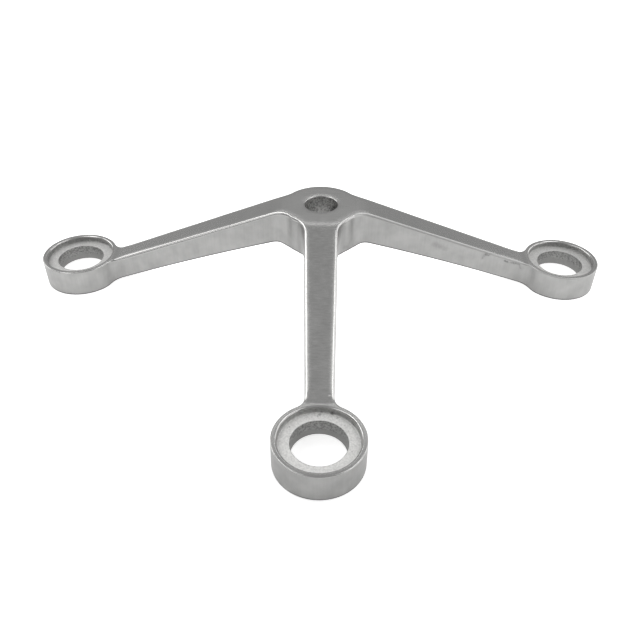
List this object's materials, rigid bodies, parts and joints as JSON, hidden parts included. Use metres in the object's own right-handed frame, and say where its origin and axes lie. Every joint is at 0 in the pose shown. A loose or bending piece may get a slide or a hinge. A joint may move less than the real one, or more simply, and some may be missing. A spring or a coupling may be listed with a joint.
{
  "type": "glass spider fitting",
  "caption": "Cast steel bracket with a bored hub and sloping arms at right angles, each ending in a bored and recessed ring that holds a glass clamp.",
  "frame": {"origin": "centre of the hub's flat top face, on the axis of the hub bore", "axes": "+Z out of the hub's top face along the bore; the middle arm runs along -Y; the side arms run along +X and -X; the rings lie below the hub"},
  "size_m": [0.3248, 0.1842, 0.0496],
  "materials": {
    "spider_casting": "satin, finely brushed outside; matt as cast in the seats and holes"
  },
  "bodies": {
    "root": {"spider_casting": "spider_casting"}
  },
  "joints": []
}
